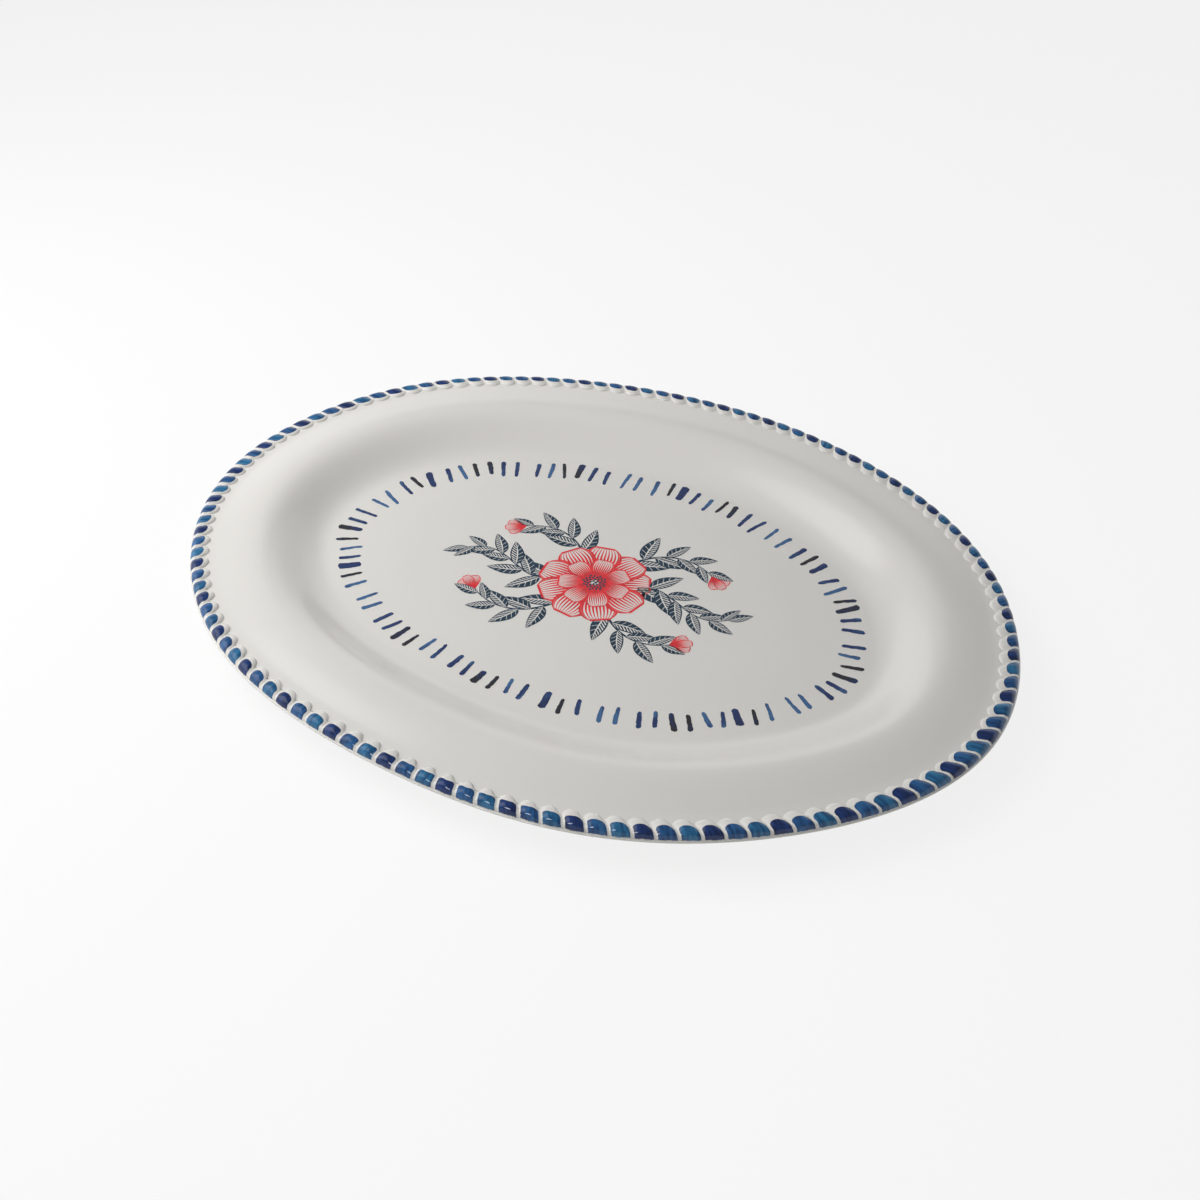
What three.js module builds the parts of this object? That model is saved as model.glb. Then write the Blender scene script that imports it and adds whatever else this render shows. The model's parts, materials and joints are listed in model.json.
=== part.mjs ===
// Oval stoneware serving platter: a moulded shell, a rope border on its rim and a foot ring under its floor.
// Millimetres, +Z up. The origin is on the table under the middle of the oval, with +X along its length.
import * as THREE from 'three';

// The oval, measured over the outer lip. It swells a little past a true ellipse between its axes.
const LENGTH = 410;
const WIDTH = 318;
const FULLNESS = 1.2;

// The shell: a flat floor, a soft wall and a broad rim that droops a little from its brow to the rope
const SHELL = 4.6;
const WELL_DEPTH = 13;
const WALL_WIDTH = 35;
const WALL_SOFTNESS = 16;
const RIM_WIDTH = 31;
const RIM_DROOP = 2;
const RIM_LAND = 1.6;

// The rope border: lobes that lean round the edge, seated in a rebate behind a narrow lip
const ROPE_LOBES = 123;
const ROPE_WIDTH = 9.9;
const ROPE_RISE = 1.8;
const ROPE_DROP = 1.8;
const ROPE_CREST = 3.8;
const ROPE_LEAN = 3;
const ROPE_START = 3.3;
const GROOVE_SINK = 1.4;
const SCALLOP_DEPTH = 3;
const LIP_SCALLOP = 0.4;
const LIP_WIDTH = 0.4;
const LIP_THICKNESS = 1.2;
const SEAT_LAND = 0.9;
const SEAT_CLEARANCE = 0.3;

// The foot ring: a low standing ring set in from the edge of the floor
const FOOT_HEIGHT = 3;
const FOOT_WIDTH = 7;
const FOOT_SETBACK = 2.5;
const FOOT_SOLE = 3.8;
const FOOT_EDGE = 1;

// How finely the curves are cut into facets
const BODY_COLUMNS = 84;
const LOBE_STEPS = 4;
const WALL_STEPS = 7;
const RIM_STEPS = 3;
const NOSE_STEPS = 4;
const ROPE_ARC_STEPS = 3;

// Heights
const floorUnder = FOOT_HEIGHT;
const floorTop = floorUnder + SHELL;
const rimTop = floorTop + WELL_DEPTH;
const browTop = rimTop + RIM_DROOP;
const ropeSeat = rimTop - ROPE_DROP;

// Insets, measured square to the oval from its outer edge
const floorEdge = RIM_WIDTH + WALL_WIDTH;
const ropeInner = LIP_WIDTH + ROPE_WIDTH;
const ropeCrest = LIP_WIDTH + ROPE_CREST;
const rebate = ropeInner - SCALLOP_DEPTH - SEAT_LAND;
const rimFlat = ropeInner + RIM_LAND;
const noseRadius = LIP_THICKNESS / 2;
const footOuter = floorEdge + FOOT_SETBACK;
const footInner = footOuter + FOOT_WIDTH;

// The outer edge seen from above, anticlockwise from its +X end
class OvalEdge extends THREE.Curve {
  getPoint(t, target = new THREE.Vector2()) {
    const turn = 2 * Math.PI * t;
    const x = (LENGTH / 2) * Math.cos(turn);
    const y = (WIDTH / 2) * Math.sin(turn);
    const outward = new THREE.Vector2(x / LENGTH ** 2, y / WIDTH ** 2).normalize();
    const swell = (FULLNESS * (1 - Math.cos(4 * turn))) / 2;
    return target.set(x, y).addScaledVector(outward, swell);
  }
}

const oval = new OvalEdge();
oval.arcLengthDivisions = 2400;

// A point on the curve that runs a given inset inside the edge, a share u of the way round
function insetPoint(u, inset, z) {
  const share = u - Math.floor(u);
  const edge = oval.getPointAt(share);
  const along = oval.getTangentAt(share);
  return new THREE.Vector3(edge.x - along.y * inset, edge.y + along.x * inset, z);
}

// A closed skin over columns of points that go once round the oval. Each column is one section, from its
// first point to its last. A section either closes on itself or runs out to the two poles.
function skin(columns, poles = []) {
  const rows = columns[0].length;
  const points = columns.flat();
  const faces = [];
  const seams = poles.length ? rows - 1 : rows;
  columns.forEach((_, column) => {
    const here = column * rows;
    const next = ((column + 1) % columns.length) * rows;
    for (let row = 0; row < seams; row += 1) {
      const below = (row + 1) % rows;
      faces.push(here + row, here + below, next + below);
      faces.push(here + row, next + below, next + row);
    }
    if (poles.length) {
      const first = points.length;
      faces.push(here, next, first);
      faces.push(next + rows - 1, here + rows - 1, first + 1);
    }
  });
  const geometry = new THREE.BufferGeometry().setFromPoints([...points, ...poles]);
  geometry.setIndex(faces);
  geometry.computeVertexNormals();
  return geometry;
}

// One section swept round the oval. Its points hold an inset and a height.
function sweepRound(section, poles) {
  const columns = Array.from({ length: BODY_COLUMNS }, (_, column) =>
    section.map((point) => insetPoint(column / BODY_COLUMNS, point.x, point.y)),
  );
  return skin(columns, poles);
}

const at = (inset, z) => new THREE.Vector2(inset, z);

// The wall and rim as one face of the shell, lowered by a depth: up the wall to the brow, then out to the
// flat land that the rope stands on
function dishFace(depth) {
  const wall = new THREE.CubicBezierCurve(
    at(floorEdge, floorTop - depth),
    at(floorEdge - WALL_SOFTNESS, floorTop - depth),
    at(RIM_WIDTH + WALL_SOFTNESS, browTop - depth),
    at(RIM_WIDTH, browTop - depth),
  );
  const rim = new THREE.CubicBezierCurve(
    at(RIM_WIDTH, browTop - depth),
    at((RIM_WIDTH + rimFlat) / 2, browTop - depth),
    at((RIM_WIDTH + rimFlat) / 2, rimTop - depth),
    at(rimFlat, rimTop - depth),
  );
  return [...wall.getPoints(WALL_STEPS), ...rim.getPoints(RIM_STEPS).slice(1)];
}

function platterBody() {
  const nose = new THREE.EllipseCurve(
    noseRadius, ropeSeat - noseRadius, noseRadius, noseRadius, Math.PI / 2, 1.5 * Math.PI,
  );
  const section = [
    ...dishFace(0),
    at(rebate, rimTop),
    at(rebate, ropeSeat),
    ...nose.getPoints(NOSE_STEPS),
    ...dishFace(SHELL).reverse(),
  ];
  return sweepRound(section, [new THREE.Vector3(0, 0, floorTop), new THREE.Vector3(0, 0, floorUnder)]);
}

// A lobe is round across its width and sinks to a groove on either side
const grooveDepth = (across) => (2 * across) ** 2;

// The rope's section at a depth of groove from 0 to 1: from the inner foot over the crest to the outer foot.
// It is two quarters of an ellipse, and a groove draws in its feet and lowers its crest.
function ropeArc(groove) {
  const stops = 2 * ROPE_ARC_STEPS;
  const crestTop = rimTop + ROPE_RISE - GROOVE_SINK * groove;
  return Array.from({ length: stops + 1 }, (_, stop) => {
    const inside = stop <= ROPE_ARC_STEPS;
    const foot = inside ? rimTop : ropeSeat;
    const reach = inside ? ropeInner - ropeCrest - SCALLOP_DEPTH * groove : ROPE_CREST - LIP_SCALLOP * groove;
    const turn = (Math.PI * stop) / stops;
    return at(ropeCrest + reach * Math.cos(turn), foot + (crestTop - foot) * Math.sin(turn));
  });
}

function ropeEdge() {
  const round = oval.getLength();
  const count = ROPE_LOBES * LOBE_STEPS;
  const columns = Array.from({ length: count }, (_, column) => {
    const across = (column % LOBE_STEPS) / LOBE_STEPS - 0.5;
    const start = (column / LOBE_STEPS - 0.5) / ROPE_LOBES + ROPE_START / round;
    const arc = ropeArc(grooveDepth(across));
    const top = arc.map((point) => {
      const outwards = (ropeInner - point.x) / ROPE_WIDTH - 0.5;
      return insetPoint(start + (ROPE_LEAN * outwards) / round, point.x, point.y);
    });
    const heel = rebate - SEAT_CLEARANCE;
    return [...top, insetPoint(start, heel, ropeSeat), insetPoint(start, heel, rimTop)];
  });
  return skin(columns);
}

function footRing() {
  const splay = (FOOT_WIDTH - FOOT_SOLE) / 2;
  const side = splay / 2;
  return sweepRound([
    at(footInner, FOOT_HEIGHT),
    at(footOuter, FOOT_HEIGHT),
    at(footOuter + side, FOOT_EDGE),
    at(footOuter + splay, 0),
    at(footInner - splay, 0),
    at(footInner - side, FOOT_EDGE),
  ]);
}

function piece(name, geometry, color, roughness) {
  const material = new THREE.MeshStandardMaterial({ color, roughness, metalness: 0 });
  const mesh = new THREE.Mesh(geometry, material);
  mesh.name = name;
  return mesh;
}

const platter = new THREE.Group();
platter.add(piece('platter_body', platterBody(), 0xe6e4de, 0.12));
platter.add(piece('rope_edge', ropeEdge(), 0x4a70a6, 0.1));
platter.add(piece('foot_ring', footRing(), 0xd9cdb8, 0.8));

export default platter;
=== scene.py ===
import json
import math

import bpy
import numpy as np
from mathutils import Matrix, Vector


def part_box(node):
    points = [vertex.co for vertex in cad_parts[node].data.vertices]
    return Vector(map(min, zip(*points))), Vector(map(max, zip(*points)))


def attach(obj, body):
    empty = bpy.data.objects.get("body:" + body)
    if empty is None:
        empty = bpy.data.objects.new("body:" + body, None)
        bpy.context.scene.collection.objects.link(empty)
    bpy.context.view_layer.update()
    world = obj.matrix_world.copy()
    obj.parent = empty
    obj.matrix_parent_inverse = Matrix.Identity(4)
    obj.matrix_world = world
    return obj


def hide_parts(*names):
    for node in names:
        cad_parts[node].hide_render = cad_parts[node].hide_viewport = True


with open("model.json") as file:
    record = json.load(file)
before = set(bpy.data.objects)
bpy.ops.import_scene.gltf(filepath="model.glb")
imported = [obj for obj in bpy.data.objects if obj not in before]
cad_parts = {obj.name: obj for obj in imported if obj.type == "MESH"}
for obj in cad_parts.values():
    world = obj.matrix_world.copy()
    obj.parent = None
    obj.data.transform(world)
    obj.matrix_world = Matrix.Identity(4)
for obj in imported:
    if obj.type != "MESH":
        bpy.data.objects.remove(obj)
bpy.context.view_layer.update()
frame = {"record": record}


# The shell: one pressed slab of stoneware with a flat well, a soft wall and a broad rim.
# It is dipped whole in a white gloss glaze, and its edge was trued by eye, so the oval
# wanders by about a millimetre from a drawn one.
mm = 0.001
shell_low, shell_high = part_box("platter_body")
rope_low, rope_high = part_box("rope_edge")
half_length = shell_high.x
half_width = shell_high.y
floor_under = shell_low.z
floor_top = next(m["pos_m"][2] for m in frame["record"]["mounts"] if m["name"] == "well_floor")
shell_thickness = floor_top - floor_under
brow_top = shell_high.z
rope_seat = rope_low.z

edge_fullness = 1.2 * mm
edge_waves = {
    3: (-0.14 * mm, -0.79 * mm), 5: (0.45 * mm, -0.33 * mm),
    6: (0.06 * mm, -0.36 * mm), 7: (-0.39 * mm, -0.29 * mm)}
edge_samples = 14400
shell_columns = 492
rim_width = 31 * mm
rim_droop = 2 * mm
rim_top = brow_top - rim_droop
rim_shoulder = 6 * mm
rim_tail = 7 * mm
rim_slope = 0.12
rim_steps = 12
wall_width = 35 * mm
wall_sharpness = 0.6
wall_steps = 32
floor_edge = rim_width + wall_width
floor_cap = 110 * mm
crown_foot = 84 * mm
crown_brow = 103 * mm
crown_ease = 8 * mm
crown_rise = 0.3 * mm
crown_top = floor_top + crown_rise
crown_steps = 8
lip_width = 0.4 * mm
lip_radius = 0.6 * mm
lip_steps = 12
rope_inner = 10.3 * mm
rope_land = 1.6 * mm
rope_rebate = 6.4 * mm
seam_gap = 0.01 * mm
true_corner = math.radians(40)
glaze_white = (0.80, 0.782, 0.747, 1)
glaze_mottle = 0.05
glaze_speckle = 0.3
glaze_roughness = 0.09
gloss_change = 0.08
glaze_wave = 0.12 * mm
glaze_ripple = 0.02


def add_node(tree, kind, feeds=None, **settings):
    """A node with its settings, its inputs fed by other sockets or by values."""
    node = tree.nodes.new(kind)
    for name, value in settings.items():
        setattr(node, name, value)
    for key, value in (feeds or {}).items():
        if isinstance(value, bpy.types.NodeSocket):
            tree.links.new(value, node.inputs[key])
        else:
            node.inputs[key].default_value = value
    return node


def maths(tree, operation, *values, clamp=False):
    """One step of arithmetic in a tree, in geometry and shader trees alike."""
    feeds = dict(enumerate(values))
    return add_node(tree, "ShaderNodeMath", feeds, operation=operation, use_clamp=clamp).outputs[0]


def vector(tree, x=0.0, y=0.0, z=0.0):
    """Three values joined into one vector."""
    return add_node(tree, "ShaderNodeCombineXYZ", {"X": x, "Y": y, "Z": z}).outputs["Vector"]


def scaled(tree, arrow, amount):
    """A vector or colour, times an amount."""
    feeds = {0: arrow, "Scale": amount}
    return add_node(tree, "ShaderNodeVectorMath", feeds, operation="SCALE").outputs["Vector"]


def moved(tree, mesh, offset):
    """A mesh or curve with its points moved."""
    feeds = {"Geometry": mesh, "Offset": offset}
    return add_node(tree, "GeometryNodeSetPosition", feeds).outputs["Geometry"]


def new_group(name, kind, inputs, outputs):
    """An empty node group with named inputs and outputs, and its inputs."""
    group = bpy.data.node_groups.new(name, kind)
    for way, sockets in (("INPUT", inputs), ("OUTPUT", outputs)):
        for label, socket in sockets.items():
            group.interface.new_socket(label, in_out=way, socket_type="NodeSocket" + socket)
    return group, group.nodes.new("NodeGroupInput").outputs


def new_tree(name, inputs):
    """An empty tree that makes a mesh from its named inputs, and those inputs."""
    return new_group(name, "GeometryNodeTree", inputs, {"Mesh": "Geometry"})


def end_tree(tree, mesh, material):
    """Closes a tree: what it made becomes one real mesh in one material."""
    real = add_node(tree, "GeometryNodeRealizeInstances", {"Geometry": mesh})
    feeds = {"Geometry": real.outputs["Geometry"], "Material": material}
    painted = add_node(tree, "GeometryNodeSetMaterial", feeds)
    add_node(tree, "NodeGroupOutput", {"Mesh": painted.outputs["Geometry"]})


def placed(name, data):
    """A mesh, a lamp or a camera, placed in the scene."""
    thing = bpy.data.objects.new(name, data)
    bpy.context.scene.collection.objects.link(thing)
    return thing


guides = []


def guide(name, mesh):
    """A mesh that only steers a tree, and is taken out again at the end."""
    guides.append(placed(name, mesh))
    return guides[-1]


def made_by(tree, name, values):
    """A plain mesh piece, made by a tree from the values of its named inputs."""
    piece = placed(name, bpy.data.meshes.new(name))
    modifier = piece.modifiers.new(tree.name, "NODES")
    modifier.node_group = tree
    for socket in tree.interface.items_tree:
        if socket.in_out == "INPUT":
            modifier[socket.identifier] = values[socket.name]
    shaped = piece.evaluated_get(bpy.context.evaluated_depsgraph_get())
    mesh = bpy.data.meshes.new_from_object(shaped)
    piece.modifiers.remove(modifier)
    piece.data = mesh
    mesh.name = name
    return piece


def wire(name, points, closed=False, **values):
    """A bent wire for a tree to follow, with values kept on its points."""
    mesh = bpy.data.meshes.new(name)
    count = len(points)
    runs = count if closed else count - 1
    mesh.from_pydata(points, [(i, (i + 1) % count) for i in range(runs)], [])
    for key, numbers in values.items():
        mesh.attributes.new(key, "FLOAT", "POINT").data.foreach_set("value", list(numbers))
    return guide(name, mesh)


def wander(waves, turn):
    """A sum of waves round the oval: for each count of waves, its cosine part and its sine part."""
    return sum(even * np.cos(count * turn) + odd * np.sin(count * turn)
               for count, (even, odd) in waves.items())


def walked(x, y):
    """How far along a path each of its points lies."""
    return np.concatenate([[0], np.cumsum(np.hypot(np.diff(x), np.diff(y)))])


def edge_wire(columns):
    """The outer edge as a level wire, in equal steps anticlockwise from its +X end."""
    turn = np.linspace(0, 2 * math.pi, edge_samples + 1)
    across = np.stack([np.cos(turn) / half_length, np.sin(turn) / half_width])
    outward = across / np.hypot(*across)
    swell = edge_fullness * (1 - np.cos(4 * turn)) / 2 + wander(edge_waves, turn)
    x = half_length * np.cos(turn) + swell * outward[0]
    y = half_width * np.sin(turn) + swell * outward[1]
    reached = walked(x, y)
    share = np.arange(columns) / columns
    stops = share * reached[-1]
    place = np.stack([np.interp(stops, reached, x), np.interp(stops, reached, y)])
    step = np.roll(place, -1, axis=1) - np.roll(place, 1, axis=1)
    step = step / np.hypot(*step)
    points = [(px, py, 0) for px, py in place.T]
    return wire("edge_wire", points, closed=True, along=share, out_x=step[1], out_y=-step[0])


def section_wire(points, closed=False, **values):
    """A section of (inset, height) points, turned as a sweep takes it: outwards, then down."""
    return wire("section_wire", [(-inset, -height, 0) for inset, height in points], closed, **values)


def bezier(start, first, second, end, steps):
    """Points along a cubic curve between two ends, drawn towards two handles."""
    share = np.linspace(0, 1, steps + 1)[:, None]
    start, first, second, end = (np.array(point) for point in (start, first, second, end))
    curve = start * (1 - share) ** 3 + 3 * first * share * (1 - share) ** 2
    return [tuple(p) for p in curve + 3 * second * share ** 2 * (1 - share) + end * share ** 3]


def arc(centre, radii, start, end, steps, squareness=2.0):
    """Part of an ellipse, or of a squarer oval, between two turns in degrees."""
    turns = np.radians(np.linspace(start, end, steps + 1))
    power = 2 / squareness
    x = np.sign(np.cos(turns)) * np.abs(np.cos(turns)) ** power
    y = np.sign(np.sin(turns)) * np.abs(np.sin(turns)) ** power
    return list(zip(centre[0] + radii[0] * x, centre[1] + radii[1] * y))


def dish_face(depth):
    """The wall and the rim, from the floor's edge out to the land that the rope stands on."""
    low = floor_top - depth
    high = brow_top - depth
    land = rim_top - depth
    rim_end = rope_inner + rope_land
    climb = np.linspace(0, 1, wall_steps + 1)
    sharp = climb ** 3 * (6 * climb ** 2 - 15 * climb + 10)
    soft = climb ** 2 * (3 - 2 * climb)
    rise = wall_sharpness * sharp + (1 - wall_sharpness) * soft
    wall = list(zip(floor_edge - wall_width * climb, low + (high - low) * rise))
    rim = bezier((rim_width, high), (rim_width - rim_shoulder, high),
                 (rim_end + rim_tail, land + rim_tail * rim_slope), (rim_end, land), rim_steps)
    return wall + rim[1:]


def shape_of(tree, thing):
    """The mesh of an object that a tree was given."""
    return add_node(tree, "GeometryNodeObjectInfo", {"Object": thing}).outputs["Geometry"]


def curve_of(tree, bent):
    """The curve along a wire."""
    return add_node(tree, "GeometryNodeMeshToCurve", {"Mesh": shape_of(tree, bent)}).outputs["Curve"]


def level_curve(tree, bent):
    """The curve along a level wire, kept upright all the way."""
    feeds = {"Curve": curve_of(tree, bent)}
    return add_node(tree, "GeometryNodeSetCurveNormal", feeds, mode="Z_UP").outputs["Curve"]


def swept(tree, curve, section):
    """The skin of a section that is swept along a curve."""
    feeds = {"Curve": curve, "Profile Curve": curve_of(tree, section)}
    return add_node(tree, "GeometryNodeCurveToMesh", feeds).outputs["Mesh"]


def smooth_shaded(tree, mesh):
    """Shades a skin smooth, apart from its true corners."""
    smooth = add_node(tree, "GeometryNodeSetShadeSmooth", {"Geometry": mesh}, domain="FACE")
    angle = add_node(tree, "GeometryNodeInputMeshEdgeAngle").outputs["Unsigned Angle"]
    corner = add_node(tree, "FunctionNodeCompare", {0: angle, 1: true_corner}, operation="GREATER_THAN")
    feeds = {"Geometry": smooth.outputs["Geometry"], "Selection": corner.outputs["Result"],
             "Shade Smooth": False}
    return add_node(tree, "GeometryNodeSetShadeSmooth", feeds, domain="EDGE").outputs["Geometry"]


def shell_tree():
    """A section swept round the edge, with a flat floor that closes it above and below."""
    tree, given = new_tree("pressed_shell", {
        "Edge": "Object", "Section": "Object", "Cap Inset": "Float",
        "Top": "Float", "Under": "Float", "Material": "Material"})
    edge = level_curve(tree, given["Edge"])
    parts = [swept(tree, edge, given["Section"])]
    outward = add_node(tree, "GeometryNodeInputNormal").outputs["Normal"]
    inwards = scaled(tree, outward, maths(tree, "MULTIPLY", given["Cap Inset"], -1.0))
    cap_edge = moved(tree, edge, inwards)
    for height in ("Under", "Top"):
        cap = add_node(tree, "GeometryNodeFillCurve", {"Curve": cap_edge}, mode="NGONS").outputs["Mesh"]
        feeds = {"Geometry": cap, "Translation": vector(tree, z=given[height])}
        cap = add_node(tree, "GeometryNodeTransform", feeds).outputs["Geometry"]
        if height == "Under":
            cap = add_node(tree, "GeometryNodeFlipFaces", {"Mesh": cap}).outputs["Mesh"]
        parts.append(cap)
    joined = add_node(tree, "GeometryNodeJoinGeometry")
    for part in parts:
        tree.links.new(part, joined.inputs[0])
    feeds = {"Geometry": joined.outputs[0], "Distance": seam_gap}
    closed = add_node(tree, "GeometryNodeMergeByDistance", feeds).outputs["Geometry"]
    end_tree(tree, smooth_shaded(tree, closed), given["Material"])
    return tree


def object_place(tree):
    """Where a point lies on the platter."""
    return add_node(tree, "ShaderNodeTexCoord").outputs["Object"]


def noise(tree, place, scale, detail):
    """A soft noise about a half."""
    feeds = {"Vector": place, "Scale": scale, "Detail": detail}
    return add_node(tree, "ShaderNodeTexNoise", feeds).outputs["Fac"]


def glaze_group():
    """How a dipped gloss glaze varies: a faint mottle, an uneven gloss and long low waves."""
    group, given = new_group(
        "dipped_glaze", "ShaderNodeTree", {"Colour": "Color", "Mottle": "Float", "Roughness": "Float"},
        {"Colour": "Color", "Roughness": "Float", "Height": "Float"})
    place = object_place(group)
    uneven = maths(group, "SUBTRACT", noise(group, place, scale=16.0, detail=4.0), 0.5)
    fine = maths(group, "SUBTRACT", noise(group, place, scale=320.0, detail=2.0), 0.5)
    swell = noise(group, place, scale=34.0, detail=1.0)
    change = maths(group, "MULTIPLY_ADD", fine, glaze_speckle, uneven)
    bright = maths(group, "MULTIPLY_ADD", change, given["Mottle"], 1.0)
    dull = maths(group, "MULTIPLY_ADD", uneven, gloss_change, given["Roughness"])
    height = maths(group, "MULTIPLY_ADD", fine, glaze_ripple, swell)
    toned = scaled(group, given["Colour"], bright)
    add_node(group, "NodeGroupOutput", {"Colour": toned, "Roughness": dull, "Height": height})
    return group


def new_material(name):
    """An empty material with its surface shader."""
    material = bpy.data.materials.new(name)
    material.use_nodes = True
    tree = material.node_tree
    return material, tree, tree.nodes["Principled BSDF"]


dipped_glaze = glaze_group()


def use_glaze(tree, surface, roughness=glaze_roughness, wave=glaze_wave):
    """Gives a surface the dipped glaze and its waves. Returns the glaze's colour."""
    feeds = {"Colour": glaze_white, "Mottle": glaze_mottle, "Roughness": roughness}
    glaze = add_node(tree, "ShaderNodeGroup", feeds, node_tree=dipped_glaze).outputs
    bump = add_node(tree, "ShaderNodeBump", {"Height": glaze["Height"], "Distance": wave})
    tree.links.new(glaze["Roughness"], surface.inputs["Roughness"])
    tree.links.new(bump.outputs["Normal"], surface.inputs["Normal"])
    return glaze["Colour"]


def white_glaze():
    """The glaze alone, over the pale body."""
    material, tree, surface = new_material("white_glaze")
    tree.links.new(use_glaze(tree, surface), surface.inputs["Base Color"])
    return material


shell_profile = (
    [(floor_cap, crown_top)]
    + bezier((crown_brow, crown_top), (crown_brow - crown_ease, crown_top),
             (crown_foot + crown_ease, floor_top), (crown_foot, floor_top), crown_steps)
    + dish_face(0)
    + [(rope_rebate, rim_top), (rope_rebate, rope_seat)]
    + arc((lip_radius, rope_seat - lip_radius), (lip_radius, lip_radius), 90, 270, lip_steps)
    + dish_face(shell_thickness)[::-1]
    + [(floor_cap, floor_under)]
)
shell_edge = edge_wire(shell_columns)
glazed_shell = made_by(shell_tree(), "glazed_shell", {
    "Edge": shell_edge, "Section": section_wire(shell_profile), "Cap Inset": floor_cap,
    "Top": crown_top, "Under": floor_under, "Material": white_glaze()})
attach(glazed_shell, "root")
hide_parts("platter_body")


# The foot ring: a low standing ring under the floor, luted on in the same stoneware.
# It is wiped bare of glaze before firing, so it shows the buff clay and its grit.
foot_low, foot_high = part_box("foot_ring")
foot_outer = half_length - foot_high.x
foot_width = 7 * mm
foot_inner = foot_outer + foot_width
foot_splay = 1.6 * mm
foot_edge = foot_low.z + 1 * mm
clay_dark = (0.50, 0.42, 0.32, 1)
clay_pale = (0.66, 0.58, 0.47, 1)
clay_grit = 0.12 * mm
clay_roughness = 0.82


def ring_tree():
    """A closed section swept round the edge."""
    tree, given = new_tree("standing_ring", {
        "Edge": "Object", "Section": "Object", "Material": "Material"})
    skin = swept(tree, level_curve(tree, given["Edge"]), given["Section"])
    end_tree(tree, smooth_shaded(tree, skin), given["Material"])
    return tree


def mixed(tree, share, first, second):
    """One colour turning into another."""
    node = add_node(tree, "ShaderNodeMix", {0: share, 6: first, 7: second}, data_type="RGBA")
    return node.outputs[2]


def bare_clay():
    """Fired clay, uneven in tone, with a fine grit."""
    material, tree, surface = new_material("bare_clay")
    place = object_place(tree)
    tone = mixed(tree, noise(tree, place, scale=90.0, detail=6.0), clay_dark, clay_pale)
    grit = add_node(tree, "ShaderNodeTexVoronoi", {"Vector": place, "Scale": 900.0})
    bump = add_node(tree, "ShaderNodeBump", {"Height": grit.outputs["Distance"], "Distance": clay_grit})
    tree.links.new(tone, surface.inputs["Base Color"])
    tree.links.new(bump.outputs["Normal"], surface.inputs["Normal"])
    surface.inputs["Roughness"].default_value = clay_roughness
    return material


foot_profile = [
    (foot_inner, foot_high.z), (foot_outer, foot_high.z),
    (foot_outer + foot_splay / 2, foot_edge), (foot_outer + foot_splay, foot_low.z),
    (foot_inner - foot_splay, foot_low.z), (foot_inner - foot_splay / 2, foot_edge),
]
foot_ring = made_by(ring_tree(), "bare_foot", {
    "Edge": shell_edge, "Section": section_wire(foot_profile, closed=True), "Material": bare_clay()})
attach(foot_ring, "root")
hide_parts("foot_ring")


# The rope border: a strip of lobes pressed in a mould and luted into the rim's rebate.
# Each lobe was painted with one stroke of a loaded brush, in turn navy, mid blue and teal,
# under the clear gloss, with its thumb end and the grooves left white.
rope_lobes = 123
lobe_columns = 24
rope_columns = rope_lobes * lobe_columns
rope_start = 3.3 * mm
rope_crest = 4.2 * mm
rope_sink = 0.4 * mm
seat_clearance = 0.3 * mm
rope_heel = rope_rebate - seat_clearance
rope_width = rope_inner - lip_width
thumb_reach = rope_inner - rope_crest
face_reach = rope_crest - lip_width
rope_squareness = 2.2
quarter_steps = 14
thumb_from, thumb_full = 0.45, 0.2
groove_sink = 1.4 * mm
groove_power = 2.2
face_deepening = 0.5
scallop_depth = 3 * mm
scallop_softness = 0.4
lip_scallop = 0.4 * mm
rope_roughness = 0.06
rope_wave = 0.05 * mm
rope_specular = 0.4

# The hand in the rope. Waves go round the whole edge, and the wave of count 0 is the mean.
# A spot is an amount, how far round the edge it is, and how far it spreads.
drift_waves = {1: (0.0, 0.06), 2: (-0.10, 0.07)}
drift_spots = ((0.72, 0.478, 0.065), (-0.52, 0.645, 0.06))
lean_waves = {0: (3 * mm, 0), 1: (0.8 * mm, 0)}
lean_spots = ((-3.5 * mm, 0.715, 0.04),)
narrow_waves = {0: (0.4 * mm, 0), 1: (-0.2 * mm, -0.25 * mm)}
narrow_spots = ((0.6 * mm, 0.65, 0.06), (0.5 * mm, 0.77, 0.03))
thumb_waves = {0: (0.94, 0)}
thumb_spots = ((-0.3, 0.735, 0.06),)
end_waves = {0: (0.39, 0), 1: (0.02, -0.02)}
end_spots = (
    (0.055, 0.745, 0.06), (-0.17, 0.955, 0.045), (-0.16, 0.515, 0.035),
    (-0.05, 0.58, 0.05), (-0.13, 0.44, 0.045), (-0.09, 0.19, 0.12))
half_waves = {0: (0.41, 0), 1: (0.02, 0)}
half_spots = ((-0.03, 0.66, 0.08), (0.03, 0.45, 0.05))
shift_spots = ((-0.07, 0.52, 0.06),)
round_waves = {0: (0.14, 0)}
round_spots = ((0.12, 0.19, 0.12),)
corner_spots = ((0.13, 0.75, 0.05),)

# The strokes: a thin and a deep pigment for each colour, in the order they were painted
stroke_colours = (
    ((0.012, 0.045, 0.19, 1), (0.004, 0.014, 0.07, 1)),
    ((0.026, 0.130, 0.33, 1), (0.005, 0.034, 0.13, 1)),
    ((0.030, 0.185, 0.37, 1), (0.005, 0.055, 0.165, 1)),
)
first_colour = 1.0
stroke_jitter = 7.31
stroke_roundness = 2.4
stroke_edge = (1.03, 0.95)
stroke_foot = (0.985, 0.955)
edge_raggedness = 0.16
foot_raggedness = 0.10
edge_fineness = (5.0, 6.0)
streak_fineness = (6.0, 1.8)
streak_marks = (0.32, 0.68)
streak_strength = 0.9
pooling_marks = (0.70, 1.0)
pooling_strength = 0.35


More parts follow.
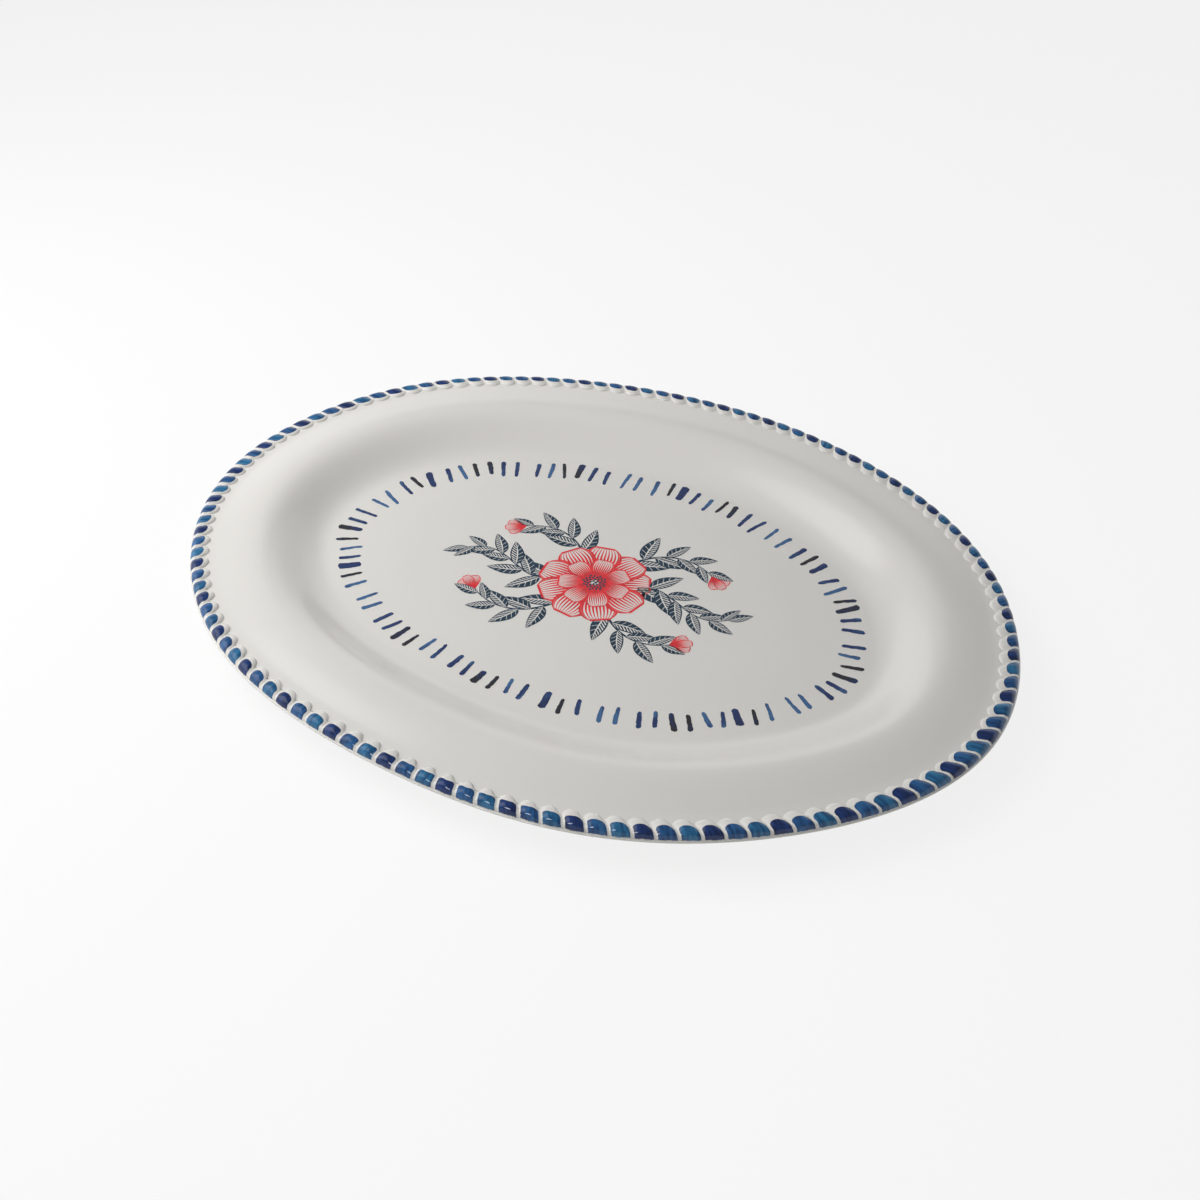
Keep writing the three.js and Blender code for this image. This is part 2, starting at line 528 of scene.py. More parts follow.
def kept_value(tree, name, kind="FLOAT"):
    """A value that was kept on the points under a name."""
    return add_node(tree, "GeometryNodeInputNamedAttribute", {"Name": name}, data_type=kind).outputs[0]


def keep_vector(tree, mesh, name, value):
    """Keeps a vector on the points under a name."""
    feeds = {"Geometry": mesh, "Name": name, "Value": value}
    settings = {"data_type": "FLOAT_VECTOR", "domain": "POINT"}
    return add_node(tree, "GeometryNodeStoreNamedAttribute", feeds, **settings).outputs["Geometry"]


def ramp(tree, value, low, high, start=0.0, end=1.0):
    """Maps a value between two marks smoothly onto a new range."""
    feeds = {"Value": value, "From Min": low, "From Max": high, "To Min": start, "To Max": end}
    node = add_node(tree, "ShaderNodeMapRange", feeds, interpolation_type="SMOOTHSTEP")
    return node.outputs["Result"]


def rope_tree():
    """The rope's full section swept round the edge, then drawn in and sunk at every groove."""
    tree, given = new_tree("twisted_rope", {
        "Edge": "Object", "Section": "Object", "Lobes": "Float", "Start": "Float",
        "Material": "Material"})
    skin = swept(tree, level_curve(tree, given["Edge"]), given["Section"])
    over = kept_value(tree, "over")
    turned = maths(tree, "MULTIPLY", kept_value(tree, "along"), given["Lobes"])
    leaned = maths(tree, "MULTIPLY", kept_value(tree, "outwards"), kept_value(tree, "lean"))
    phase = maths(tree, "SUBTRACT", maths(tree, "SUBTRACT", turned, given["Start"]), leaned)
    lobe = maths(tree, "ROUND", phase)
    across = maths(tree, "SUBTRACT", phase, lobe)
    lobe = maths(tree, "FLOORED_MODULO", lobe, given["Lobes"])

    side = maths(tree, "ABSOLUTE", maths(tree, "MULTIPLY", across, 2.0))
    thumb = ramp(tree, over, thumb_from, thumb_full)
    slim = maths(tree, "MULTIPLY", maths(tree, "SUBTRACT", 1.0, kept_value(tree, "thumb_width")), thumb)
    side = maths(tree, "DIVIDE", side, maths(tree, "SUBTRACT", 1.0, slim), clamp=True)
    steep = maths(tree, "SUBTRACT", 1.0, maths(tree, "MULTIPLY", side, side), clamp=True)
    scallop = maths(tree, "SUBTRACT", 1.0, maths(tree, "SQRT", steep))
    groove = maths(tree, "POWER", side, groove_power)
    softer = maths(tree, "SUBTRACT", groove, scallop)
    scallop = maths(tree, "MULTIPLY_ADD", softer, scallop_softness, scallop)
    scallop = maths(tree, "ADD", scallop, kept_value(tree, "narrower"))
    drawn = maths(tree, "MULTIPLY", scallop, kept_value(tree, "draw_in"))
    offset = vector(tree, maths(tree, "MULTIPLY", drawn, kept_value(tree, "out_x")),
                    maths(tree, "MULTIPLY", drawn, kept_value(tree, "out_y")),
                    maths(tree, "MULTIPLY", groove, kept_value(tree, "draw_down")))
    grooved = moved(tree, skin, offset)

    angle = maths(tree, "MULTIPLY", across, 2 * math.pi)
    wave = vector(tree, maths(tree, "COSINE", angle), maths(tree, "SINE", angle), over)
    colour = maths(tree, "ADD", lobe, first_colour)
    colour = maths(tree, "FLOORED_MODULO", colour, float(len(stroke_colours)))
    grooved = keep_vector(tree, grooved, "lobe_wave", wave)
    grooved = keep_vector(tree, grooved, "lobe_tone", vector(tree, x=colour, z=lobe))
    end_tree(tree, smooth_shaded(tree, grooved), given["Material"])
    return tree


def on_surface(tree, name, kind="Fac"):
    """A value, or a vector, that was kept on the surface under a name."""
    return add_node(tree, "ShaderNodeAttribute", attribute_name=name).outputs[kind]


def split(tree, arrow):
    """The three values of a vector."""
    return add_node(tree, "ShaderNodeSeparateXYZ", {"Vector": arrow}).outputs


def painted_rope():
    """White glaze, with a brush stroke on the crest and the outer face of every lobe."""
    material, tree, surface = new_material("painted_glaze")
    wave = split(tree, on_surface(tree, "lobe_wave", "Vector"))
    tone = split(tree, on_surface(tree, "lobe_tone", "Vector"))
    across = maths(tree, "DIVIDE", maths(tree, "ARCTAN2", wave["Y"], wave["X"]), 2 * math.pi)
    over = wave["Z"]
    jitter = maths(tree, "MULTIPLY", tone["Z"], stroke_jitter)

    def brushed(fineness, detail):
        """A noise that runs with the brush and starts afresh on each lobe."""
        ways = [maths(tree, "MULTIPLY", way, fine) for way, fine in zip((across, over), fineness)]
        return noise(tree, vector(tree, *ways, jitter), scale=1.0, detail=detail)

    streak = brushed(streak_fineness, detail=3.0)
    ragged = maths(tree, "SUBTRACT", brushed(edge_fineness, detail=2.0), 0.5)
    wide = maths(tree, "SUBTRACT", across, on_surface(tree, "stroke_shift"))
    wide = maths(tree, "ABSOLUTE", maths(tree, "DIVIDE", wide, on_surface(tree, "stroke_half")))
    sideways = maths(tree, "MULTIPLY", wide, wide)
    corner = maths(tree, "MULTIPLY", sideways, on_surface(tree, "stroke_corner"))
    inner_end = maths(tree, "SUBTRACT", on_surface(tree, "stroke_end"), corner)
    rounding = on_surface(tree, "stroke_round")
    back = maths(tree, "SUBTRACT", maths(tree, "ADD", inner_end, rounding), over)
    back = maths(tree, "MAXIMUM", maths(tree, "DIVIDE", back, rounding), 0.0)
    powers = [maths(tree, "POWER", way, stroke_roundness) for way in (back, wide)]
    reach = maths(tree, "POWER", maths(tree, "ADD", *powers), 1 / stroke_roundness)
    reach = maths(tree, "MULTIPLY_ADD", ragged, edge_raggedness, reach)
    outer_end = maths(tree, "MULTIPLY_ADD", ragged, foot_raggedness, over)
    stroke = maths(tree, "MULTIPLY", ramp(tree, reach, *stroke_edge), ramp(tree, outer_end, *stroke_foot))

    pooled = ramp(tree, reach, *pooling_marks, end=pooling_strength)
    pigment = ramp(tree, streak, *streak_marks, end=streak_strength)
    pigment = maths(tree, "ADD", pigment, pooled, clamp=True)
    inks = [mixed(tree, pigment, thin, deep) for thin, deep in stroke_colours]
    ink = inks[0]
    for number, later in enumerate(inks[1:]):
        ink = mixed(tree, maths(tree, "GREATER_THAN", tone["X"], number + 0.5), ink, later)
    glaze = use_glaze(tree, surface, rope_roughness, rope_wave)
    surface.inputs["Specular IOR Level"].default_value = rope_specular
    tree.links.new(mixed(tree, stroke, glaze, ink), surface.inputs["Base Color"])
    return material


thumb_quarter = arc((0, 0), (1, 1), 0, 90, quarter_steps, rope_squareness)
face_quarter = arc((0, 0), (1, 1), 90, 180, quarter_steps, rope_squareness)[1:]
rope_arc = (
    [(rope_crest + thumb_reach * x, rim_top + (rope_high.z - rim_top) * y) for x, y in thumb_quarter]
    + [(rope_crest + face_reach * x, rope_seat + (rope_high.z - rope_seat) * y) for x, y in face_quarter]
)
rope_profile = rope_arc + [
    (lip_width, rope_seat - rope_sink), (rope_heel, rope_seat - rope_sink),
    (rope_heel, rim_top - rope_sink), (rope_inner, rim_top - rope_sink),
]
scallops = [scallop_depth * x for x, _ in thumb_quarter] + [lip_scallop * x for x, _ in face_quarter]
sinks = [-groove_sink * y for _, y in thumb_quarter]
sinks += [-groove_sink * y * (1 + face_deepening * x) for x, y in face_quarter]
rope_section = section_wire(
    rope_profile, closed=True,
    over=[*np.linspace(0, 1, len(rope_arc)), 1, 1, 0, 0],
    outwards=[(rope_inner - inset) / rope_width - 0.5 for inset, _ in rope_profile],
    draw_in=[*scallops, -lip_scallop, 0, 0, scallop_depth],
    draw_down=[*sinks, 0, 0, 0, 0])
rope_edge_wire = edge_wire(rope_columns)
rope_stops = [vertex.co for vertex in rope_edge_wire.data.vertices]
next_stops = rope_stops[1:] + rope_stops[:1]
rope_round = sum((after - stop).length for stop, after in zip(rope_stops, next_stops))
rope_pitch = rope_round / rope_lobes
rope_share = np.arange(rope_columns) / rope_columns


def round_rope(waves, spots):
    """A value round the rope: its waves, and a swell at each spot that fades out on both sides."""
    value = wander(waves, 2 * math.pi * rope_share)
    for amount, share, spread in spots:
        away = (rope_share - share + 0.5) % 1 - 0.5
        value = value + amount * np.exp(-(away / spread) ** 2)
    return value


rope_values = rope_edge_wire.data.attributes
lobes_along = rope_share - round_rope(drift_waves, drift_spots) / rope_lobes
rope_values["along"].data.foreach_set("value", lobes_along)
for name, numbers in (
    ("lean", round_rope(lean_waves, lean_spots) / rope_pitch),
    ("narrower", round_rope(narrow_waves, narrow_spots) / scallop_depth),
    ("thumb_width", round_rope(thumb_waves, thumb_spots)),
    ("stroke_end", round_rope(end_waves, end_spots)),
    ("stroke_half", round_rope(half_waves, half_spots)),
    ("stroke_shift", round_rope({}, shift_spots)),
    ("stroke_round", round_rope(round_waves, round_spots)),
    ("stroke_corner", round_rope({}, corner_spots)),
):
    rope_values.new(name, "FLOAT", "POINT").data.foreach_set("value", numbers)
rope_border = made_by(rope_tree(), "rope_border", {
    "Edge": rope_edge_wire, "Section": rope_section, "Lobes": float(rope_lobes),
    "Start": rope_start / rope_pitch, "Material": painted_rope()})
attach(rope_border, "root")
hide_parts("rope_edge")


# The dash ring: touches of a flat brush on the floor, just inside the wall, under the glaze.
# Each is blue, navy or charcoal, two in every run are broad, and the ring has three runs.
# It was set out by eye, so it lies a little off centre and is shorter on its near side.
dash_run = "Fkn,bb,nndkbnFkb,bb,nndkbn,nndkbn,"
dash_runs = 3
dash_first = 8.9
wide_gap = 1.32
# The touches: broad, deep, charcoal, navy and blue, with width, depth of colour and inset
dash_kinds = {
    "F": (3.5 * mm, 0.55, 74.2 * mm),
    "d": (2.9 * mm, 0.85, 73.6 * mm),
    "k": (2.1 * mm, 1.0, 73.4 * mm),
    "n": (2.2 * mm, 0.4, 75 * mm),
    "b": (2 * mm, 0.08, 75.3 * mm),
}
dash_inset = 74 * mm
dash_length = 13.4 * mm
dash_stretch = {0: (0.9, 0), 1: (-0.03, 0.12)}
dash_slip = {0: (-0.15 * mm, 0), 1: (-0.2 * mm, -1.3 * mm)}
dash_ragged = 1 * mm
# How far the hand strayed: a share of a step, millimetres of inset and of bend, and degrees of turn
step_stray = 0.08
inset_stray = 0.9
bend_stray = 0.9
turn_stray = 8
length_spread = (0.88, 1.1)
width_spread = (0.85, 1.15)
dash_steps = 16
dash_blue = (0.062, 0.15, 0.32, 1)
dash_navy = (0.024, 0.042, 0.14, 1)
dash_charcoal = (0.03, 0.03, 0.036, 1)
wash_fineness = (2.2, 1.1, 90.0)
wash_strength = 0.9
navy_marks = (0.0, 0.5)
charcoal_marks = (0.55, 1.0)
ink_lift = 0.05 * mm
mark_height = 50 * mm
mark_lanes = 4
ring_samples = 1440


def blank(name, outline, start, end, steps):
    """A flat mark of unit size along +X. Its points keep how far along and across they lie."""
    along = np.linspace(0, 1, steps + 1)
    across = np.linspace(-1, 1, mark_lanes + 1)
    points = [(start + (end - start) * t, v * outline(t), 0) for t in along for v in across]
    faces = []
    for step in range(steps):
        for lane in range(mark_lanes):
            near = step * (mark_lanes + 1) + lane
            far = near + mark_lanes + 1
            faces.append((near, far, far + 1, near + 1))
    mesh = bpy.data.meshes.new(name)
    mesh.from_pydata(points, [], faces)
    kept = [value for t in along for v in across for value in (t, v, 0)]
    mesh.attributes.new("mark", "FLOAT_VECTOR", "POINT").data.foreach_set("vector", kept)
    return guide(name, mesh)


def places(name, rows):
    """Points above the floor, one for each mark, that keep the mark's own values."""
    points = [(*row["place"], mark_height) for row in rows]
    values = {key: [row[key] for row in rows] for key in rows[0] if key != "place"}
    return wire(name, points, **values)


def vectors(tree, operation, first, second):
    """One step of arithmetic with two vectors."""
    feeds = {0: first, 1: second}
    return add_node(tree, "ShaderNodeVectorMath", feeds, operation=operation).outputs["Vector"]


def laid_on(tree, mesh, ground, lift):
    """Drops a flat mesh on the glaze below it, a hair above the surface."""
    hit = add_node(tree, "GeometryNodeRaycast", {
        "Target Geometry": shape_of(tree, ground), "Ray Direction": (0, 0, -1),
        "Ray Length": 2 * mark_height})
    spot = vectors(tree, "ADD", hit.outputs["Hit Position"], vector(tree, z=lift))
    feeds = {"Geometry": mesh, "Position": spot}
    return add_node(tree, "GeometryNodeSetPosition", feeds).outputs["Geometry"]


def mark_tree():
    """A blank on every place, turned, sized and bent by the values kept there."""
    tree, given = new_tree("laid_marks", {
        "Places": "Object", "Blank": "Object", "Ground": "Object", "Ragged": "Float",
        "Material": "Material"})
    heading = kept_value(tree, "heading")
    turn = add_node(tree, "FunctionNodeEulerToRotation", {"Euler": vector(tree, z=heading)})
    size = vector(tree, kept_value(tree, "length"), kept_value(tree, "width"), 1.0)
    laid = add_node(tree, "GeometryNodeInstanceOnPoints", {
        "Points": shape_of(tree, given["Places"]), "Instance": shape_of(tree, given["Blank"]),
        "Rotation": turn.outputs["Rotation"], "Scale": size})
    real = add_node(tree, "GeometryNodeRealizeInstances", {"Geometry": laid.outputs["Instances"]})
    along = split(tree, kept_value(tree, "mark", "FLOAT_VECTOR"))["X"]
    curl = maths(tree, "MULTIPLY", maths(tree, "MULTIPLY", along, along), kept_value(tree, "bend"))
    sideways = vector(tree, maths(tree, "MULTIPLY", maths(tree, "SINE", heading), -1.0),
                      maths(tree, "COSINE", heading))
    stray = add_node(tree, "ShaderNodeTexNoise", {"Scale": 420.0, "Detail": 2.0}).outputs["Color"]
    stray = scaled(tree, vectors(tree, "SUBTRACT", stray, (0.5, 0.5, 0.5)), given["Ragged"])
    offset = vectors(tree, "ADD", scaled(tree, sideways, curl), stray)
    bent = moved(tree, real.outputs["Geometry"], offset)
    end_tree(tree, laid_on(tree, bent, given["Ground"], kept_value(tree, "lift")), given["Material"])
    return tree


def kept_mark(tree):
    """How far along and across its mark a point of the surface lies."""
    return split(tree, on_surface(tree, "mark", "Vector"))


def brushed_ink():
    """Brushed pigment under the glaze: blue where it is thin, then navy, and charcoal at its deepest."""
    material, tree, surface = new_material("brushed_ink")
    mark = kept_mark(tree)
    chance = on_surface(tree, "chance")
    ways = zip((mark["X"], mark["Y"], chance), wash_fineness)
    brush = vector(tree, *[maths(tree, "MULTIPLY", way, fine) for way, fine in ways])
    wash = maths(tree, "SUBTRACT", noise(tree, brush, scale=1.0, detail=4.0), 0.5)
    slope = maths(tree, "MULTIPLY", maths(tree, "SUBTRACT", mark["X"], 0.5),
                  maths(tree, "SUBTRACT", chance, 0.5))
    depth = maths(tree, "MULTIPLY_ADD", wash, wash_strength, on_surface(tree, "tone"))
    depth = maths(tree, "ADD", slope, depth, clamp=True)
    blue = mixed(tree, ramp(tree, depth, *navy_marks), dash_blue, dash_navy)
    ink = mixed(tree, ramp(tree, depth, *charcoal_marks), blue, dash_charcoal)
    use_glaze(tree, surface)
    tree.links.new(ink, surface.inputs["Base Color"])
    return material


def edge_frame(share, inset):
    """A point that far round and inside the edge, and the outward heading there."""
    place = share * shell_columns
    corner = int(place) % shell_columns
    beyond = (corner + 1) % shell_columns
    values = shell_edge.data.attributes
    ends = []
    for index in (corner, beyond):
        outward = Vector((values["out_x"].data[index].value, values["out_y"].data[index].value))
        ends.append((shell_edge.data.vertices[index].co.xy - outward * inset, outward))
    spot = ends[0][0].lerp(ends[1][0], place % 1)
    outward = ends[0][1].lerp(ends[1][1], place % 1)
    return spot, math.atan2(outward.y, outward.x)


def ring_shares(inset, count):
    """Shares of the way round the edge that step evenly along a ring inside it."""
    shares = np.linspace(0, 1, ring_samples + 1)
    ring = np.array([edge_frame(share, inset)[0] for share in shares])
    reached = walked(*ring.T)
    return lambda step: float(np.interp(step / count % 1 * reached[-1], reached, shares))


def dash_outline(t):
    """A touch that starts narrow, widens outwards and has round ends."""
    return (0.36 + 0.14 * t) * (1 - abs(2 * t - 1) ** 14) ** 0.5 + 0.08


dash_chance = np.random.default_rng(11)
dash_rows = []
dash_count = dash_runs * len(dash_run.replace(",", ""))
wide_gaps = dash_runs * dash_run.count(",")
close_gap = (dash_count - wide_gaps * wide_gap) / (dash_count - wide_gaps)
share_at = ring_shares(dash_inset, dash_count)
step = dash_first
for letter in dash_run * dash_runs:
    if letter == ",":
        step += wide_gap - close_gap
        continue
    width, tone, inset = dash_kinds[letter]
    share = share_at(step + dash_chance.uniform(-step_stray, step_stray))
    turn = 2 * math.pi * share
    inset += float(wander(dash_slip, turn)) + dash_chance.uniform(-inset_stray, inset_stray) * mm
    spot, outward = edge_frame(share, inset)
    dash_rows.append({
        "place": tuple(spot),
        "heading": outward + math.radians(dash_chance.uniform(-turn_stray, turn_stray)),
        "length": dash_length * float(wander(dash_stretch, turn)) * dash_chance.uniform(*length_spread),
        "width": width * dash_chance.uniform(*width_spread),
        "bend": dash_chance.uniform(-bend_stray, bend_stray) * mm,
        "lift": ink_lift,
        "tone": tone,
        "chance": dash_chance.uniform(0, 1),
    })
    step += close_gap
dash_blank = blank("dash_blank", dash_outline, -0.5, 0.5, dash_steps)
laid_marks = mark_tree()
dash_ring = made_by(laid_marks, "dash_ring", {
    "Places": places("dash_places", dash_rows), "Blank": dash_blank, "Ground": glazed_shell,
    "Ragged": dash_ragged, "Material": brushed_ink()})
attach(dash_ring, "root")


# The centre: a printed posy in two inks, a red rosette with navy leaf sprigs and red buds.
# It is a decal cut like an engraving, with hatched shading, fired on under the clear glaze.
leaf_ink = (0.022, 0.05, 0.085, 1)
petal_ink = (0.78, 0.035, 0.045, 1)
ink_wear = (0.25, 0.75, 0.8, 1.15)
decal_ragged = 0.25 * mm
line_softness = 0.12
# Each sprig: its path in millimetres from the middle, its leaves, and whether it ends in a bud
sprig_paths = (
    ((17, 3), (36, 20), (50, -14), (69, 2), 10, False),
    ((9, 17), (17, 35), (36, 41), (51, 29), 8, True),
    ((-12, 16), (-22, 28), (-34, 36), (-50, 26), 7, True),
)
stem_steps = 32
stem_width = 1.5 * mm
stem_taper = 0.65
stem_lift = 0.8 * ink_lift
leaf_steps = 14
leaf_length, leaf_shrink = 20 * mm, 8 * mm
leaf_angle, leaf_closing = 52, 14
leaf_fullness = 0.40
leaf_bend = 0.16
leaf_spread = (0.9, 1.1)
leaf_layer = 0.1
first_leaf, last_leaf = 0.7, 0.2
vein_slant = -0.16
vein_lines, vein_weight = 6.0, 0.10
hatch_lines, hatch_weight, hatch_taper = 10.0, 0.75, -0.35
half_marks = (-0.05, 0.05)
rib_marks = (0.05, 0.12)
leaf_edge = (0.74, 0.86)
tip_leaf_length, tip_leaf_width = 13 * mm, 5 * mm
bud_length, bud_width = 11 * mm, 5.5 * mm
bud_spread = 26
bud_layer, bud_step = 2, 0.4
# Each ring of the rosette: the reach of its petals, how many there are, and the layer they lie in
rosette_rings = ((26 * mm, 9, 1), (0.62 * 26 * mm, 7, 1.7))
rosette_hole = 2 * mm
petal_fullness = 0.74
petal_bend = 1 * mm
petal_layer = 0.02
petal_lines = 5.5
petal_weight = (0.2, 1.0, 1.05, 0.3)
petal_edge = (0.82, 0.90)
petal_tip = (0.93, 0.97)
seed_count = 40
seed_size = 1.35 * mm
seed_spacing = 0.92 * mm
seed_steps = 6
seed_lift = 2.6 * ink_lift
golden_turn = math.pi * (3 - math.sqrt(5))


def engraving_group():
    """Lines of ink at even steps, each as wide as its weight says."""
    group, given = new_group(
        "engraved_lines", "ShaderNodeTree", {"Along": "Float", "Lines": "Float", "Weight": "Float"},
        {"Ink": "Float"})
    step = maths(group, "FRACT", maths(group, "MULTIPLY", given["Along"], given["Lines"]))
    away = maths(group, "MULTIPLY", maths(group, "ABSOLUTE", maths(group, "SUBTRACT", step, 0.5)), 2.0)
    ink = ramp(group, maths(group, "SUBTRACT", away, given["Weight"]), line_softness, -line_softness)
    add_node(group, "NodeGroupOutput", {"Ink": ink})
    return group


engraved_lines = engraving_group()


def engraved(tree, along, lines, weight):
    """Engraved lines across a mark."""
    feeds = {"Along": along, "Lines": lines, "Weight": weight}
    return add_node(tree, "ShaderNodeGroup", feeds, node_tree=engraved_lines).outputs["Ink"]


def printed(name, ink_colour, drawn):
    """A printed material: one ink over the glaze, where the drawing says."""
    material, tree, surface = new_material(name)
    glaze = use_glaze(tree, surface)
    worn = noise(tree, object_place(tree), scale=260.0, detail=3.0)
    ink = scaled(tree, ink_colour[:3], ramp(tree, worn, *ink_wear))
    tree.links.new(mixed(tree, drawn(tree), glaze, ink), surface.inputs["Base Color"])
    return material


def leaf_drawing(tree):
    """A dark half with pale veins, a hatched half, and an outline all round."""
    mark = kept_mark(tree)
    side = maths(tree, "MULTIPLY", mark["Y"], on_surface(tree, "flip"))
    apart = maths(tree, "ABSOLUTE", mark["Y"])
    slanted = maths(tree, "MULTIPLY_ADD", apart, vein_slant, mark["X"])
    veins = engraved(tree, slanted, vein_lines, vein_weight)
    thinning = maths(tree, "MULTIPLY_ADD", apart, hatch_taper, hatch_weight)
    hatch = engraved(tree, slanted, hatch_lines, thinning)
    dark = maths(tree, "SUBTRACT", 1.0, veins)
    half = ramp(tree, side, *half_marks)
    inside = add_node(tree, "ShaderNodeMix", {0: half, 2: hatch, 3: dark}).outputs[0]
    rib = ramp(tree, apart, *rib_marks)
    outline = ramp(tree, apart, *leaf_edge)
    return maths(tree, "MAXIMUM", maths(tree, "MULTIPLY", inside, rib), outline)


def petal_drawing(tree):
    """Lines that fan out from the heart and thin towards a drawn outline."""
    mark = kept_mark(tree)
    apart = maths(tree, "ABSOLUTE", mark["Y"])
    lines = engraved(tree, mark["Y"], petal_lines, ramp(tree, mark["X"], *petal_weight))
    outline = maths(tree, "MAXIMUM", ramp(tree, apart, *petal_edge), ramp(tree, mark["X"], *petal_tip))
    return maths(tree, "MAXIMUM", lines, outline)


def solid_drawing(tree):
    """Full ink, a little thin at the edges of the mark."""
    return ramp(tree, maths(tree, "ABSOLUTE", kept_mark(tree)["Y"]), 1.1, 0.9)


def stem_tree():
    """A flat stroke along a path, laid on the glaze and drawn out thin at its tip."""
    tree, given = new_tree("laid_stem", {
        "Path": "Object", "Width": "Float", "Lift": "Float", "Ground": "Object", "Material": "Material"})
    flat = add_node(tree, "GeometryNodeCurvePrimitiveLine", {"Start": (-0.5, 0, 0), "End": (0.5, 0, 0)})
    share = add_node(tree, "GeometryNodeSplineParameter").outputs["Factor"]
    width = maths(tree, "MULTIPLY", maths(tree, "MULTIPLY_ADD", share, -stem_taper, 1.0), given["Width"])
    ribbon = add_node(tree, "GeometryNodeCurveToMesh", {
        "Curve": level_curve(tree, given["Path"]), "Profile Curve": flat.outputs["Curve"], "Scale": width})
    laid = laid_on(tree, ribbon.outputs["Mesh"], given["Ground"], given["Lift"])
    end_tree(tree, laid, given["Material"])
    return tree


def leaf_outline(t):
    """A leaf that is fullest below its middle and runs out to a point."""
    return 0.5 * math.sin(math.pi * t ** 0.78) ** 0.85 + 0.015


def petal_outline(t):
    """A petal that is fullest near its blunt end."""
    return 0.5 * (math.sin(math.pi * (0.06 + 0.88 * t) ** 1.7)) ** 0.62


def seed_outline(t):
    """A round dot."""
    return math.sqrt(max(0.01, 0.25 - (t - 0.5) ** 2))


def along_path(path, share):
    """The place and heading a share of the way along a path."""
    place = share * (len(path) - 1)
    first = min(int(place), len(path) - 2)
    start, end = Vector(path[first]), Vector(path[first + 1])
    step = end - start
    return start.lerp(end, place - first), math.atan2(step.y, step.x)


posy_chance = np.random.default_rng(4)
leaf_rows, petal_rows, seed_rows, stems = [], [], [], []
for start, first, second, end, leaves, budded in sprig_paths:
    for turned in (1, -1):
        curve = bezier(start, first, second, end, stem_steps)
        path = [(x * turned * mm, y * turned * mm) for x, y in curve]
        stems.append(path)
        for leaf in range(leaves):
            share = (leaf + first_leaf) / (leaves + last_leaf)
            side = 1 if leaf % 2 else -1
            spot, heading = along_path(path, share)
            length = (leaf_length - leaf_shrink * share) * posy_chance.uniform(*leaf_spread)
            leaf_rows.append({
                "place": tuple(spot),
                "heading": heading + side * math.radians(leaf_angle - leaf_closing * share),
                "length": length, "width": leaf_fullness * length, "bend": -side * leaf_bend * length,
                "lift": ink_lift * (1 + leaf_layer * leaf), "flip": side})
        spot, heading = along_path(path, 1.0)
        if budded:
            for petal in (-1, 1, 0):
                petal_rows.append({
                    "place": tuple(spot), "heading": heading + math.radians(bud_spread * petal),
                    "length": bud_length - abs(petal) * mm, "width": bud_width, "bend": 0.0,
                    "lift": ink_lift * (bud_layer - bud_step * abs(petal))})
        else:
            leaf_rows.append({
                "place": tuple(spot), "heading": heading, "length": tip_leaf_length,
                "width": tip_leaf_width, "bend": 0.0, "lift": ink_lift, "flip": 1})

for reach, count, layer in rosette_rings:
    for petal in range(count):
        heading = 2 * math.pi * (petal + 0.5 * layer) / count
        petal_rows.append({
            "place": (rosette_hole * math.cos(heading), rosette_hole * math.sin(heading)),
            "heading": heading, "length": reach, "width": petal_fullness * reach,
            "bend": posy_chance.uniform(-1, 1) * petal_bend,
            "lift": ink_lift * (layer + petal_layer * petal)})

for seed in range(seed_count):
    reach = seed_spacing * math.sqrt(seed + 0.5)
    turn = seed * golden_turn
    seed_rows.append({
        "place": (reach * math.cos(turn), reach * math.sin(turn)), "heading": turn,
        "length": seed_size, "width": seed_size, "bend": 0.0, "lift": seed_lift})

leaf_print = printed("leaf_ink", leaf_ink, leaf_drawing)
petal_print = printed("petal_ink", petal_ink, petal_drawing)
solid_print = printed("solid_ink", leaf_ink, solid_drawing)
leaf_blank = blank("leaf_blank", leaf_outline, 0, 1, leaf_steps)
petal_blank = blank("petal_blank", petal_outline, 0, 1, leaf_steps)
seed_blank = blank("seed_blank", seed_outline, -0.5, 0.5, seed_steps)
posy = [
    made_by(laid_marks, name, {
        "Places": places(name + "_places", rows), "Blank": shape, "Ground": glazed_shell,
        "Ragged": decal_ragged, "Material": ink})
    for name, rows, shape, ink in (
        ("sprig_leaves", leaf_rows, leaf_blank, leaf_print),
        ("rosette_and_buds", petal_rows, petal_blank, petal_print),
        ("rosette_seeds", seed_rows, seed_blank, solid_print),
    )
]
laid_stem = stem_tree()
for number, path in enumerate(stems, 1):
    stem_path = wire("stem_path", [(x, y, mark_height) for x, y in path])
    posy.append(made_by(laid_stem, f"sprig_stem_{number}", {
        "Path": stem_path, "Width": stem_width, "Lift": stem_lift, "Ground": glazed_shell,
        "Material": solid_print}))
for piece in posy:
    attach(piece, "root")


# The studio: a pale floor that keeps the platter's shadow and an even white room, seen from
# the photograph's place. A soft box on the camera's left gives the light, another beside it
# gives the sheen on the wall, and a small card gives the glints on the near lobes.
floor_size = 6.0
paper_grey = (0.9, 0.9, 0.9, 1)
paper_glow = 0.82
white = (1, 1, 1, 1)
room_level = 0.315
backdrop_top, backdrop_full = 0.55, 0.40
box_fade = 4.0
box_peak = 1.25
view_azimuth = math.radians(22.513)
view_elevation = math.radians(41.315)
view_roll = math.radians(-1.831)
view_distance = 629.19 * mm
view_target = Vector((12.11, -21.344, 18.0)) * mm
focal_pixels = 1328.24
image_pixels = 1200
sensor_width = 36

